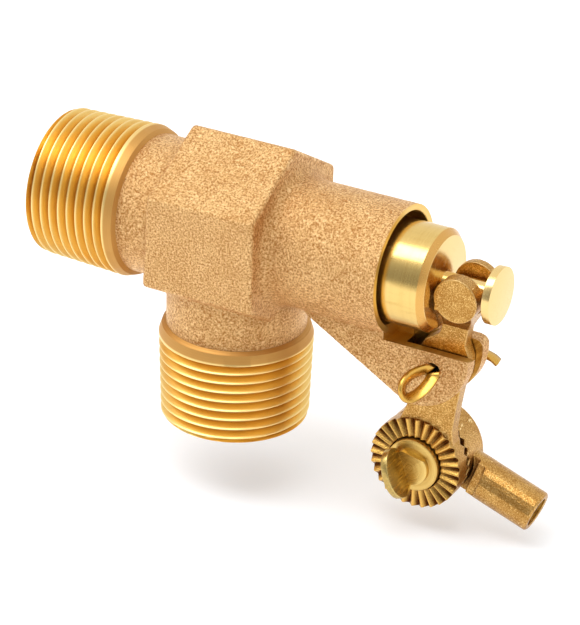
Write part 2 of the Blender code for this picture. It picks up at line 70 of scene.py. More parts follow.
# pipe threads, 1 inch NPT
PITCH = 25.4 / 11.5
CREST_R = 16.58
THREAD_DEPTH = 0.75 * PITCH
TAPER = 1 / 32                # loss of radius along the thread
THREAD_STEPS = 160
THREAD_PHASE = 0.25           # turns the helix by this share of a pitch
THREAD_FORM = [               # (share of the pitch, share of the depth) from one root to the next
    (0.0, 0.0), (0.04, 0.02), (0.15, 0.25), (0.25, 0.5), (0.35, 0.75), (0.44, 0.97), (0.46, 1.0),
    (0.54, 1.0), (0.56, 0.97), (0.65, 0.75), (0.75, 0.5), (0.85, 0.25), (0.96, 0.02),
]
FADE_IN = 0.3 * PITCH         # length in which the groove deepens past the first crest
FADE_OUT = 0.5                # length in which it runs out at the end face
FADE_LEFT = 0.2               # share of its depth that is left there
THREAD_EDGE = 0.35            # chamfer of the end face
CREST_TRIM = 0.1              # how much the end's blank takes off the crests
SHOULDER = (0.9, 0.6)         # how much the first turn widens from the neck, and in what length
INLET_CREST_X = 19.46
INLET_NECK_X = 22.0
OUTLET_CREST_Z = -24.79
OUTLET_NECK_Z = -22.1
OUTLET_END_Z = -43.5

# body
TURNED_STEPS = 128            # sides of the larger turned shapes
TEE_X = 43.0
NECK_R = 15.0
BLOCK_X = (31.0, 56.1)
BLOCK_SIDE = 20.38            # a little inside the CAD's, for the skin's unevenness
BLOCK_EDGE = 0.7
BLOCK_LEAN = 0.05             # how far the face to the inlet leans, per height
BLOCK_LEAN_Z = 10.2           # height at which it stands at BLOCK_X
FILLET = 3.0                  # between the block and the housing
HOUSING_R = 13.58
HOUSING_END_X = 81.9
INLET_BORE_R = 11.6
SEAT_WALL_X = (28.0, 36.0)
SEAT_HOLE_R = 9.3
CHAMBER_R = 12.6
CHAMBER_END_X = 57.0
GUIDE_R = 11.23
MOUTH_R = 12.2
MOUTH_X = 75.0
MOUTH_FACE_LOW_Z = -12.0      # below it the cast ears begin
LIP = (0.15, 0.1, 0.25)       # chamfer of the mouth: past its radius, within it, and its depth
BORE_EDGE = (1.2, 0.8)        # chamfer of the threaded ends' bores: width at the tool's end, and depth
OUTLET_BORE_R = 11.5
OUTLET_BORE_TOP_Z = -11.0
BRACKET_START = (61.0, -12.0)
BRACKET_ROOT = (62.6, -13.8)
BRACKET_KNEE = (85.8, -27.4)
BRACKET_TOP = (64, -9)                # where its hidden upper edge starts inside the housing
EAR_Y = 5.15
EAR_ARC = (87.3, -15.2, 12.4)
RELIEF_X = 80.4
RELIEF_R = 15.4
REAR_EAR_TOP_Z = -12.6
EAR_CORNER_R = 1.8
SLOT_Y = 1.85
SLOT_X = 84.1
SLOT_Z = (-33, -9.4)
RELIEF_Z = (-18, -8)
PIVOT = (91.9, -18.5)
PIN_HOLE_R = 1.75
OPEN_END_X = 107                      # past every ear, for the tools that cut them
CLEAR = 30                            # reach of a tool that only has to clear the body
CAST_VOXEL = 0.30
CAST_SMOOTHING = 5
CAST_UNEVENNESS = (0.08, 1.1)         # height and size

# plunger
PLUNGER_Z = -0.5
PISTON_R = 10.93
PISTON_X = (58.0, 91.3)
PISTON_CHAMFER = 1.3
PISTON_EDGE = 0.07
FRONT_R = 9.6
CUP_X = (46.5, 48.9)
CUP_R = 8.3
RING_GROOVE_X = (65.6, 69.0)
RING_GROOVE_R = 8.9
SCREW_HOLE_R = 1.9
SCREW_HOLE_X = 56.0
BUTTON_X = (102.19, 103.85)
BUTTON_R = 6.13
STEM_R = 2.2

# lever and socket
CLAMP = (87.55, -42.85)
CLAMP_FRONT_Y = -2.6                  # the crests of the lever's front teeth
TEETH_R = (6.3, 10.25)                # where they begin and end, from the clamp's axis
TUBE_Y = 6.5
TUBE_DROP = math.radians(19.4)
TUBE_REACH = 26.2
TUBE_R = 4.6
THROAT = (10.9, 13.4)                 # where the tube's root fills up again behind the lever's disc
THROAT_Y = 4.4
ROD_HOLE_DEPTH = 12.5
ROD_THREAD_R = 3.65                   # in its grooves
ROD_THREAD_DEPTH = 0.75
ROD_THREAD_PITCH = 1.41
BRONZE_VOXEL = 0.13
BRONZE_UNEVENNESS = (0.03, 0.6)       # height and size
WELD = 0.001                          # joins the corners that the CAD's mesh stores twice

# thumb screw
SHANK_R = 3.1
SHANK_EDGE = 0.5
SCREW_EDGE = 0.18
FLANGE_R = 5.85
FLANGE_Y = (-3.4, -1.1)
SHANK_END_Y = 9.5
BOSS_R = 4.0
BOSS_Y = -4.7
BOSS_FLAT = 3.0                       # height of the flat cut across the boss's top
BOSS_FLAT_TURN = math.radians(12)
TAB_AXES = (5.5, 4.3)
TAB_Y = -6.8
TAB_WAIST = 53
TAB_OFFSET = -2.15
TAB_THICKNESS = 1.5
TAB_ROOT = 1.4
TAB_EDGE = 0.22
TAB_TURN = math.radians(-22.5)

# cotter pin
WIRE_R = 1.35                         # of the half-round section
WIRE_FLAT = 0.67                      # from the route in to the flat side
WIRE_EDGE = (0.12, 0.1)               # chamfer between the flat side and the round one
WIRE_STEPS = 18
WIRE_SPACING = 0.3
LEG_SPACING = 1.45
EYE_LENGTH = 8.0
EYE_HALF_WIDTH = 2.25
EYE_TAPER = 0.35
EYE_POINTS = 40
LOWER_BULGE = 0.65                    # the eye's lower wire runs straighter than its upper one
EYE_Y = -5.7
EYE_OUT = Vector((-0.35, -0.825, -0.445))
EYE_SIDE = Vector((-0.65, -0.12, 0.75))
LEG_SIDE = Vector((-0.816, 0.0, 0.577))
LEG_ROUTE = [                         # along the leg's side, y, and up or down from its hole
    (0.0, 0.0, 0.0), (0.0, 5.0, 0.0), (0.4, 6.5, 0.2), (1.5, 7.2, 0.3), (4.5, 7.8, 0.0), (6.7, 8.0, -0.6),
    (7.9, 8.2, -1.5),
]

# colours on screen
GOLD = ((0.94, 0.79, 0.46), (0.91, 0.74, 0.40))
OLIVE = ((0.90, 0.77, 0.46), (0.81, 0.66, 0.36))
PIT = (0.42, 0.27, 0.10)


# ---------------------------------------------------------------- shapes

def mesh_object(name, vertices, faces):
    """An object from vertices in millimetres."""
    mesh = bpy.data.meshes.new(name)
    mesh.from_pydata([tuple(c * MM for c in v) for v in vertices], [], faces)
    bm = bmesh.new()
    bm.from_mesh(mesh)
    bmesh.ops.recalc_face_normals(bm, faces=bm.faces)
    bm.to_mesh(mesh)
    bm.free()
    thing = bpy.data.objects.new(name, mesh)
    bpy.context.scene.collection.objects.link(thing)
    return thing


def spot(x, y, z):
    return Matrix.Translation(Vector((x, y, z)) * MM)


def along_x():
    """Turns a shape made about Z so that its top points along +X."""
    return Matrix.Rotation(math.radians(90), 4, "Y")


def along_y():
    """Turns a shape made about Z so that its top points along +Y."""
    return Matrix.Rotation(math.radians(-90), 4, "X")


def on_plunger_axis():
    return spot(0, 0, PLUNGER_Z) @ along_x()


def at_axis(centre):
    """Stands a shape made about Z on an axis along Y, through centre (x, z)."""
    return spot(centre[0], 0, centre[1]) @ along_y()


def placed(thing, place):
    """Moves the mesh itself, so that every object keeps its origin at the frame's."""
    thing.data.transform(place)
    return thing


def rounded(profile, radius, count=3):
    """A profile with its inner corners rounded off."""
    out = [profile[0]]
    for before, here, after in zip(profile, profile[1:], profile[2:]):
        a, b, c = Vector(before), Vector(here), Vector(after)
        reach = min(radius, 0.45 * (a - b).length, 0.45 * (c - b).length)
        start = b + (a - b).normalized() * reach
        end = b + (c - b).normalized() * reach
        for i in range(count + 1):
            t = i / count
            p = start.lerp(b, t).lerp(b.lerp(end, t), t)
            out.append((p.x, p.y))
    out.append(profile[-1])
    return out


def lathe(name, profile, steps, place):
    """Turns a profile of (radius, height) about Z. It starts and ends on the axis."""
    vertices, rows = [], []
    for r, h in profile:
        if r == 0:
            rows.append([len(vertices)] * steps)
            vertices.append((0, 0, h))
        else:
            rows.append(list(range(len(vertices), len(vertices) + steps)))
            for i in range(steps):
                a = 2 * math.pi * i / steps
                vertices.append((r * math.cos(a), r * math.sin(a), h))
    faces = []
    for low, high in zip(rows, rows[1:]):
        for i in range(steps):
            j = (i + 1) % steps
            corners = [low[i], low[j], high[j], high[i]]
            faces.append(list(dict.fromkeys(corners)))
    return placed(mesh_object(name, vertices, faces), place)


def bar(name, radius, low, high, steps, place):
    """A plain round bar made about Z from low to high."""
    return lathe(name, [(0, high), (radius, high), (radius, low), (0, low)], steps, place)


def prism(name, outline, low, high, place=Matrix.Identity(4)):
    """An outline of (u, v) points raised along its normal from low to high."""
    n = len(outline)
    vertices = [(u, v, h) for h in (low, high) for u, v in outline]
    faces = [[i, (i + 1) % n, n + (i + 1) % n, n + i] for i in range(n)]
    faces += [list(range(n))[::-1], list(range(n, 2 * n))]
    return placed(mesh_object(name, vertices, faces), place)


def side_prism(name, outline, low_y, high_y):
    """An outline of (x, z) points raised along Y."""
    turn = Matrix(((1, 0, 0, 0), (0, 0, 1, 0), (0, 1, 0, 0), (0, 0, 0, 1)))
    return prism(name, outline, low_y, high_y, turn)


def box(name, low, high):
    outline = [(low[0], low[1]), (high[0], low[1]), (high[0], high[1]), (low[0], high[1])]
    return prism(name, outline, low[2], high[2])


def arc(centre_u, centre_v, radius, start, end, count):
    angles = [math.radians(start + (end - start) * i / (count - 1)) for i in range(count)]
    return [(centre_u + radius * math.cos(a), centre_v + radius * math.sin(a)) for a in angles]


def curve_through(points, spacing):
    """Points every so often along a smooth curve through the given ones."""
    n = len(points)
    out = []
    for i in range(n - 1):
        b, c = points[i], points[i + 1]
        a = points[i - 1] if i else b * 2 - c
        d = points[i + 2] if i + 2 < n else c * 2 - b
        count = max(1, round((c - b).length / spacing))
        for k in range(count):
            t = k / count
            out.append(0.5 * ((2 * b) + (c - a) * t + (2 * a - 5 * b + 4 * c - d) * t * t
                              + (3 * b - a - 3 * c + d) * t ** 3))
    out.append(points[-1])
    return out


def apply(thing):
    """Turns an object's modifiers into its mesh."""
    graph = bpy.context.evaluated_depsgraph_get()
    made = bpy.data.meshes.new_from_object(thing.evaluated_get(graph))
    old = thing.data
    thing.modifiers.clear()
    thing.data = made
    bpy.data.meshes.remove(old)
    return thing


def combine(thing, other, operation):
    """Cuts, joins or intersects thing with other, which it uses up."""
    for slot in other.data.materials:
        if slot and slot.name not in [m.name for m in thing.data.materials if m]:
            thing.data.materials.append(slot)
    step = thing.modifiers.new("cut", "BOOLEAN")
    step.operation = operation
    step.solver = "MANIFOLD"
    step.object = other
    step.material_mode = "TRANSFER"
    apply(thing)
    spare = other.data
    bpy.data.objects.remove(other)
    bpy.data.meshes.remove(spare)
    return thing


def give(thing, finish):
    """Gives a whole piece one material."""
    thing.data.materials.clear()
    thing.data.materials.append(finish)
    thing.data.polygons.foreach_set("material_index", [0] * len(thing.data.polygons))
    return thing


def bevelled(thing, width):
    """Rounds every sharp edge of a solid."""
    bevel = thing.modifiers.new("bevel", "BEVEL")
    bevel.width = width * MM
    bevel.segments = 3
    bevel.limit_method = "ANGLE"
    return apply(thing)


def soften(thing, voxel, passes, unevenness):
    """Remakes a rough union as one even skin with rounded edges and a slight unevenness."""
    height, size = unevenness
    skin = thing.modifiers.new("skin", "REMESH")
    skin.mode = "VOXEL"
    skin.voxel_size = voxel * MM
    soft = thing.modifiers.new("soft", "SMOOTH")
    soft.factor = 0.5
    soft.iterations = passes
    cloud = bpy.data.textures.new(thing.name + "_unevenness", "CLOUDS")
    cloud.noise_scale = size * MM
    uneven = thing.modifiers.new("uneven", "DISPLACE")
    uneven.texture = cloud
    uneven.texture_coords = "LOCAL"
    uneven.strength = height * MM
    uneven.mid_level = 0.5
    return apply(thing)


def shade(thing, angle=32):
    thing.data.shade_smooth()
    thing.data.set_sharp_from_angle(angle=math.radians(angle))
    return thing


def thread_rod(name, first_crest, last, crest_r, depth, pitch, fade=False, phase=0.0, steps=THREAD_STEPS):
    """A rod about Z with a right-handed thread, from below height 0 to past last.

    At angle 0 a crest stands at first_crest plus phase, which is in pitches. With fade the rod is a pipe
    thread: it tapers past first_crest, and its groove runs out there and at last.
    """
    per_turn = len(THREAD_FORM)
    low = first_crest - 0.5 * pitch + phase * pitch
    while low > -2 * pitch:
        low -= pitch
    turns = math.ceil((last + 2 * pitch - low) / pitch)
    vertices = []
    for i in range(steps):
        a = 2 * math.pi * i / steps
        for turn in range(turns):
            for along, up in THREAD_FORM:
                h = low + pitch * (turn + along + i / steps)
                share, loss = 1, 0
                if fade:
                    share = min(max((h - first_crest) / FADE_IN, 0), 1)
                    share *= min(max((last - h) / FADE_OUT, FADE_LEFT), 1)
                    loss = max(h - first_crest, 0) * TAPER
                r = crest_r - loss - depth * (1 - up) * share
                vertices.append((r * math.cos(a), r * math.sin(a), h))
    per_row = turns * per_turn
    faces = []
    for i in range(steps):
        j = (i + 1) % steps
        shift = per_turn if j == 0 else 0       # the last row meets the first one a turn further up
        for k in range(per_row - 1):
            if shift and k + 1 + shift >= per_row:
                continue
            faces.append([i * per_row + k, i * per_row + k + 1,
                          j * per_row + k + 1 + shift, j * per_row + k + shift])
    bottom = [i * per_row for i in range(steps)] + list(range(per_turn, 0, -1))
    top_row = per_row - 1
    top = [i * per_row + top_row for i in range(steps)]
    last_row = (steps - 1) * per_row
    top += [last_row + top_row - k for k in range(1, per_turn + 1)]
    vertices.append((0, 0, low))
    vertices.append((0, 0, low + pitch * turns))
    for ring, centre in ((bottom, len(vertices) - 2), (top, len(vertices) - 1)):
        for a, b in zip(ring, ring[1:] + ring[:1]):
            faces.append([a, b, centre])
    return mesh_object(name, vertices, faces)


# ---------------------------------------------------------------- materials

def linear(red, green, blue):
    """A screen colour as the shader wants it."""
    return tuple(((c + 0.055) / 1.055) ** 2.4 if c > 0.04 else c / 12.92 for c in (red, green, blue)) + (1,)


class Finish:
    """Builds one node material, with short calls for the nodes that every finish here needs."""

    def __init__(self, name):
        self.material = bpy.data.materials.new(name)
        self.material.use_nodes = True
        self.tree = self.material.node_tree
        self.shader = self.tree.nodes["Principled BSDF"]
        self.shader.inputs["Metallic"].default_value = 1.0
        self.place = self.add("ShaderNodeTexCoord").outputs["Object"]

    def add(self, kind, **settings):
        node = self.tree.nodes.new(kind)
        for key, value in settings.items():
            setattr(node, key, value)
        return node

    def link(self, output, target):
        self.tree.links.new(output, target)

    def math(self, operation, first, second=0.0):
        node = self.add("ShaderNodeMath", operation=operation)
        for socket, value in zip(node.inputs, (first, second)):
            if isinstance(value, (int, float)):
                socket.default_value = value
            else:
                self.link(value, socket)
        return node.outputs[0]

    def noise(self, size, detail=2.0, roughness=0.5, stretch=None):
        """Noise whose lumps are about size millimetres across."""
        source = self.place
        if stretch:
            mapping = self.add("ShaderNodeMapping")
            mapping.inputs["Scale"].default_value = stretch
            self.link(source, mapping.inputs["Vector"])
            source = mapping.outputs["Vector"]
        node = self.add("ShaderNodeTexNoise")
        node.inputs["Scale"].default_value = 1 / (size * MM)
        node.inputs["Detail"].default_value = detail
        node.inputs["Roughness"].default_value = roughness
        self.link(source, node.inputs["Vector"])
        return node.outputs["Fac"]

    def spread(self, value, low, high, to_low=0.0, to_high=1.0):
        """Maps value from low..high to to_low..to_high, and holds it there outside."""
        node = self.add("ShaderNodeMapRange")
        self.link(value, node.inputs["Value"])
        for key, number in (("From Min", low), ("From Max", high), ("To Min", to_low), ("To Max", to_high)):
            node.inputs[key].default_value = number
        return node.outputs["Result"]

    def mix(self, share, first, second):
        """Mixes two colours, each an output or a screen colour."""
        node = self.add("ShaderNodeMix", data_type="RGBA")
        self.link(share, node.inputs["Factor"])
        for key, value in (("A", first), ("B", second)):
            socket = [s for s in node.inputs if s.name == key and s.type == "RGBA"][0]
            if isinstance(value, tuple):
                socket.default_value = linear(*value)
            else:
                self.link(value, socket)
        return [s for s in node.outputs if s.type == "RGBA"][0]

    def hollow(self, reach, low, high):
        """0 on open surfaces and 1 down in their own recesses: the mask of painted shade."""
        node = self.add("ShaderNodeAmbientOcclusion", only_local=True, samples=6)
        node.inputs["Distance"].default_value = reach * MM
        return self.spread(node.outputs["AO"], high, low)

    def edge(self, low, high):
        """1 on the outer edges of a finely meshed skin."""
        geometry = self.add("ShaderNodeNewGeometry")
        return self.spread(geometry.outputs["Pointiness"], low, high)

    def bump(self, height, depth, after=None):
        """Raises the surface by height times depth millimetres."""
        node = self.add("ShaderNodeBump")
        node.inputs["Strength"].default_value = 1.0
        node.inputs["Distance"].default_value = depth * MM
        self.link(height, node.inputs["Height"])
        if after:
            self.link(after, node.inputs["Normal"])
        return node.outputs["Normal"]

    def round_axis(self, axis, centre):
        """The place along an axis and the distance from it, in metres."""
        moved = self.add("ShaderNodeVectorMath", operation="SUBTRACT")
        moved.inputs[1].default_value = Vector(centre) * MM
        self.link(self.place, moved.inputs[0])
        split = self.add("ShaderNodeSeparateXYZ")
        self.link(moved.outputs["Vector"], split.inputs["Vector"])
        along = split.outputs[axis]
        others = [split.outputs[k] for k in "XYZ" if k != axis]
        squares = [self.math("MULTIPLY", s, s) for s in others]
        return along, self.math("SQRT", self.math("ADD", *squares))

    def turning(self, axis, centre, size, detail=3.0):
        """Noise that is even round an axis, so that it draws a lathe's lines on sides and faces alike."""
        path = self.math("ADD", *self.round_axis(axis, centre))
        node = self.add("ShaderNodeTexNoise", noise_dimensions="1D")
        node.inputs["Scale"].default_value = 1 / (size * MM)
        node.inputs["Detail"].default_value = detail
        self.link(path, node.inputs["W"])
        return node.outputs["Fac"]

    def done(self, colour, roughness, normal=None):
        for value, key in ((colour, "Base Color"), (roughness, "Roughness")):
            socket = self.shader.inputs[key]
            if isinstance(value, tuple):
                socket.default_value = linear(*value)
            elif isinstance(value, float):
                socket.default_value = value
            else:
                self.link(value, socket)
        if normal:
            self.link(normal, self.shader.inputs["Normal"])
        return self.material


def cast_finish():
    """Sand-cast bronze: matte, light tan, with the sand's grain, painted glints on the grain and painted
    shade in its recesses.
    """
    f = Finish("cast_bronze")
    grain = f.noise(0.42, 3.0, roughness=0.7)
    fine = f.noise(0.16, 1.0)
    patches = f.noise(6.0, 3.0)
    warm = f.mix(f.spread(patches, 0.35, 0.65), (0.88, 0.70, 0.46), (0.93, 0.76, 0.52))
    speckled = f.mix(f.spread(grain, 0.55, 0.38), warm, (0.70, 0.47, 0.24))
    # painted glints: pale specks where the grain is high
    speckled = f.mix(f.spread(grain, 0.56, 0.68), speckled, (0.99, 0.86, 0.64))
    worn = f.mix(f.edge(0.53, 0.60), speckled, (0.95, 0.80, 0.58))
    # painted shade: darker down in the recesses, from ambient occlusion
    colour = f.mix(f.hollow(3.0, 0.45, 0.95), worn, (0.62, 0.42, 0.22))
    normal = f.bump(fine, 0.07, f.bump(grain, 0.36))
    return f.done(colour, f.spread(grain, 0.35, 0.65, 0.50, 0.36), normal)


def cut_finish(name, axis, centre, colours, roughness, depth=0.006, crest=None, shoulder=None):
    """Machined brass with the marks of a lathe turning about an axis, which are depth deep.

    For a pipe thread, crest is its crest radius at the axis's zero, and shoulder is where its grooves stop:
    the crests are paler as a painted highlight, the roots darker as painted shade, and the shoulder darker.
    """
    f = Finish(name)
    marks = f.turning(axis, centre, 0.12)
    bands = f.turning(axis, centre, 1.7, 2.0)
    haze = f.noise(5.0, 3.0)
    specks = f.noise(0.35, 2.0)
    colour = f.mix(f.spread(bands, 0.4, 0.62), *colours)
    colour = f.mix(f.spread(haze, 0.55, 0.8, 0.0, 0.35), colour, (0.82, 0.66, 0.36))
    colour = f.mix(f.spread(specks, 0.28, 0.20), colour, PIT)
    rough = f.math("ADD", f.spread(marks, 0.3, 0.7, roughness - 0.06, roughness + 0.06),
                   f.spread(haze, 0.4, 0.7, -0.02, 0.04))
    if crest:
        along, radius = f.round_axis(axis, centre)
        level = f.math("SUBTRACT", radius, f.math("MULTIPLY", along, TAPER))
        # painted shade: darker towards the thread's roots
        root = f.spread(level, (crest - 0.9) * MM, (crest - 1.6) * MM, 0.0, 0.5)
        colour = f.mix(root, colour, (0.74, 0.48, 0.15))
        # painted highlight: paler on the crests
        top = f.spread(level, (crest - 0.3) * MM, (crest - 0.05) * MM, 0.0, 0.6)
        colour = f.mix(top, colour, (0.98, 0.88, 0.62))
        past = f.spread(along, (shoulder + 0.1) * MM, (shoulder + 0.4) * MM)
        colour = f.mix(past, colour, (0.80, 0.61, 0.34))
        rough = f.math("ADD", rough, f.math("MULTIPLY", past, 0.2))
    return f.done(colour, rough, f.bump(marks, depth))


def plunger_finish():
    """Polished brass: the piston's chamfer a little browner than its side (painted shade), the end faces
    paler (painted reflection).
    """
    f = Finish("polished_brass")
    centre = (0, 0, PLUNGER_Z)
    marks = f.turning("X", centre, 0.12)
    bands = f.turning("X", centre, 1.7, 2.0)
    streaks = f.noise(1.2, 3.0, stretch=(0.15, 1.0, 1.0))
    specks = f.noise(0.35, 2.0)
    colour = f.mix(f.spread(bands, 0.35, 0.7), (0.91, 0.78, 0.48), (0.89, 0.75, 0.45))
    colour = f.mix(f.spread(streaks, 0.5, 0.75, 0.0, 0.5), colour, (0.80, 0.65, 0.36))
    colour = f.mix(f.spread(specks, 0.28, 0.20), colour, PIT)
    along, _ = f.round_axis("X", centre)
    chamfer, end = (PISTON_X[1] - PISTON_CHAMFER) * MM, (PISTON_X[1] - 0.08) * MM
    # painted shade: the piston's chamfer browner than its side
    colour = f.mix(f.spread(along, chamfer, chamfer + 0.05 * MM), colour, (0.86, 0.66, 0.36))
    # painted reflection: paler from the piston's end face on
    colour = f.mix(f.spread(along, end, end + 0.05 * MM), colour, (0.93, 0.80, 0.53))
    rough = f.math("ADD", f.spread(marks, 0.3, 0.7, 0.17, 0.27), f.spread(streaks, 0.4, 0.7, -0.02, 0.05))
    return f.done(colour, rough, f.bump(marks, 0.003))


def tumbled_finish():
    """Tumbled bronze: golden satin, rubbed bright on its edges, with painted glints on its grain, painted
    shade between the lever's front teeth and painted shade in its recesses.
    """
    f = Finish("tumbled_bronze")
    grain = f.noise(0.24, 3.0, roughness=0.6)
    patches = f.noise(2.6, 3.0)
    base = f.mix(f.spread(patches, 0.38, 0.62), (0.74, 0.55, 0.28), (0.82, 0.64, 0.36))
    speckled = f.mix(f.spread(grain, 0.55, 0.36), base, (0.62, 0.43, 0.19))
    # painted glints: pale specks where the grain is high
    speckled = f.mix(f.spread(grain, 0.56, 0.68), speckled, (0.93, 0.78, 0.50))
    rubbed = f.mix(f.edge(0.52, 0.58), speckled, (0.97, 0.85, 0.60))
    along, radius = f.round_axis("Y", (CLAMP[0], 0, CLAMP[1]))
    depth = f.spread(along, (CLAMP_FRONT_Y + 0.15) * MM, (CLAMP_FRONT_Y + 0.85) * MM)
    inner, outer = TEETH_R
    ring = f.math("MULTIPLY", f.spread(radius, (inner - 0.1) * MM, (inner + 0.1) * MM),
                  f.spread(radius, (outer + 0.1) * MM, (outer - 0.1) * MM))
    roots = CLAMP_FRONT_Y + 1.3
    front = f.math("MULTIPLY", ring, f.spread(along, (roots + 0.1) * MM, (roots - 0.1) * MM))
    golden = f.mix(front, rubbed, (0.90, 0.71, 0.37))
    # painted shade: dark down between the lever's front teeth
    toothed = f.mix(f.math("MULTIPLY", depth, front), golden, (0.36, 0.18, 0.03))
    # painted shade: darker down in the recesses, from ambient occlusion
    colour = f.mix(f.hollow(1.3, 0.45, 0.85), toothed, (0.25, 0.12, 0.03))
    rough = f.math("SUBTRACT", f.spread(grain, 0.3, 0.7, 0.38, 0.26), f.math("MULTIPLY", front, 0.08))
    return f.done(colour, rough, f.bump(grain, 0.07))


def tab_finish():
    """The screw's tab: darker than the screw as painted shade, with a paler rim as a painted highlight, and
    grooves that run out along it.
    """
    f = Finish("tab_brass")
    grooves = f.noise(0.45, 3.0, stretch=(1.0, 0.12, 1.0))
    # painted shade: the tab's colours darker than the screw's
    colour = f.mix(f.spread(grooves, 0.35, 0.65), (0.50, 0.37, 0.13), (0.70, 0.56, 0.26))
    # painted highlight: a paler rim on its edges
    colour = f.mix(f.edge(0.51, 0.56), colour, (0.90, 0.80, 0.52))
    return f.done(colour, f.spread(grooves, 0.3, 0.7, 0.34, 0.24), f.bump(grooves, 0.05))


def wire_finish():
    """Bright brass wire with faint scratches and painted shade on its inner side."""
    f = Finish("pin_brass")
    scratches = f.noise(0.5, 2.0, stretch=(1.0, 0.2, 1.0))
    # painted shade: darker where the wire is hemmed in, from ambient occlusion
    colour = f.mix(f.hollow(1.2, 0.4, 0.9), (0.83, 0.65, 0.31), (0.34, 0.19, 0.05))
    return f.done(colour, f.spread(scratches, 0.3, 0.7, 0.22, 0.36), f.bump(scratches, 0.01))


def rubber_finish():
    """Matte black rubber with a fine grain."""
    f = Finish("rubber")
    f.shader.inputs["Metallic"].default_value = 0.0
    grain = f.noise(0.3, 2.0)
    colour = f.mix(f.spread(grain, 0.3, 0.7), (0.10, 0.10, 0.10), (0.15, 0.15, 0.15))
    return f.done(colour, f.spread(grain, 0.3, 0.7, 0.5, 0.65), f.bump(grain, 0.01))


# ---------------------------------------------------------------- pieces

def thread_end(name, first_crest, end, neck_at, phase, finish, place):
    """One male pipe thread: a helix turned on a blank with a sloping shoulder at its neck."""
    rod = thread_rod(name, first_crest, end, CREST_R, THREAD_DEPTH, PITCH, True, phase)
    end_r = CREST_R - (end - first_crest) * TAPER
    widening, length = SHOULDER
    blank = [(0, end), (end_r - THREAD_EDGE - CREST_TRIM, end), (end_r - CREST_TRIM, end - THREAD_EDGE),
             (end_r, end - 2 * THREAD_EDGE), (CREST_R, first_crest), (NECK_R + widening, neck_at + length),
             (NECK_R, neck_at), (0, neck_at)]
    envelope = lathe("blank", blank, THREAD_STEPS, Matrix.Identity(4))
    combine(rod, envelope, "INTERSECT")
    give(rod, finish)
    return placed(rod, place)


def end_bore(name, radius, end, inner, place):
    """The bore of a threaded end from its end face to inner, with a chamfer at the face."""
    widening, length = BORE_EDGE
    profile = [(0, end - 1), (radius + widening, end - 1), (radius, end + length), (radius, inner),
               (0, inner)]
    return lathe(name, profile, TURNED_STEPS, place)


def valve_body(cast, cuts):
    """The casting with everything that is machined in it."""
    x0, x1 = BLOCK_X
    hexagon = [(BLOCK_SIDE * math.sin(math.radians(60 * k)), BLOCK_SIDE * math.cos(math.radians(60 * k)))
               for k in range(6)]
    stand = Matrix(((0, 0, 1, 0), (1, 0, 0, 0), (0, 1, 0, 0), (0, 0, 0, 1)))
    body = prism("valve_body_casting", hexagon, x0, x1, stand)
    for corner in body.data.vertices:
        if corner.co.x < TEE_X * MM:
            corner.co.x -= BLOCK_LEAN * (BLOCK_LEAN_Z * MM - corner.co.z)
    bevelled(body, BLOCK_EDGE)
    housing = [(0, HOUSING_END_X + 1), (HOUSING_R, HOUSING_END_X + 1), (HOUSING_R, x1 + FILLET)]
    housing += arc(HOUSING_R + FILLET, x1 + FILLET, FILLET, 180, 270, 8)[1:]
    housing += [(HOUSING_R + FILLET, x1 - 2), (0, x1 - 2)]
    neck = [(0, INLET_NECK_X - 2), (NECK_R, INLET_NECK_X - 2), (NECK_R, x0 - 1), (NECK_R + 1, x0),
            (NECK_R + 1, TEE_X), (0, TEE_X)]
    outlet = [(0, OUTLET_NECK_Z - 2), (NECK_R, OUTLET_NECK_Z - 2), (NECK_R, 0), (0, 0)]
    for part in (lathe("housing", housing, TURNED_STEPS, along_x()),
                 lathe("neck", neck, TURNED_STEPS, along_x()),
                 lathe("outlet_neck", outlet, TURNED_STEPS, spot(TEE_X, 0, 0)),
                 bracket()):
        combine(body, part, "UNION")
    soften(body, CAST_VOXEL, CAST_SMOOTHING, CAST_UNEVENNESS)
    give(body, cast)

    for tool, finish in cutting_tools(cuts):
        give(tool, finish)
        combine(body, tool, "DIFFERENCE")
    outlet_place = spot(TEE_X, 0, 0) @ Matrix.Rotation(math.radians(180), 4, "X")
    inlet_place = spot(TEE_X, 0, 0) @ Matrix.Rotation(math.radians(-90), 4, "Y")
    inlet = thread_end("inlet_thread", TEE_X - INLET_CREST_X, TEE_X, TEE_X - INLET_NECK_X, THREAD_PHASE,
                       cuts["inlet"], inlet_place)
    outlet = thread_end("outlet_thread", -OUTLET_CREST_Z, -OUTLET_END_Z, -OUTLET_NECK_Z, -THREAD_PHASE,
                        cuts["outlet"], outlet_place)
    inlet_bore = end_bore("inlet_bore", INLET_BORE_R, 0, INLET_NECK_X + 2, along_x())
    combine(inlet, give(inlet_bore, cuts["waterway"]), "DIFFERENCE")
    outlet_bore = end_bore("outlet_bore", OUTLET_BORE_R, OUTLET_END_Z, -20, spot(TEE_X, 0, 0))
    combine(outlet, give(outlet_bore, cuts["outlet"]), "DIFFERENCE")
    for part in (inlet, outlet):
        combine(body, part, "UNION")
    return shade(body)


def bracket():
    """The web below the housing that ends in the two ears."""
    x, z, radius = EAR_ARC
    corner = REAR_EAR_TOP_Z - EAR_CORNER_R
    outline = [BRACKET_START, BRACKET_ROOT, BRACKET_KNEE]
    outline += arc(x, z, radius, -88, -4, 40)
    outline += arc(x + radius - EAR_CORNER_R, corner, EAR_CORNER_R, 0, 90, 10)
    outline += [(HOUSING_END_X - 4, REAR_EAR_TOP_Z), (HOUSING_END_X - 4, BRACKET_TOP[1]), BRACKET_TOP]
    return side_prism("bracket", outline, -EAR_Y, EAR_Y)


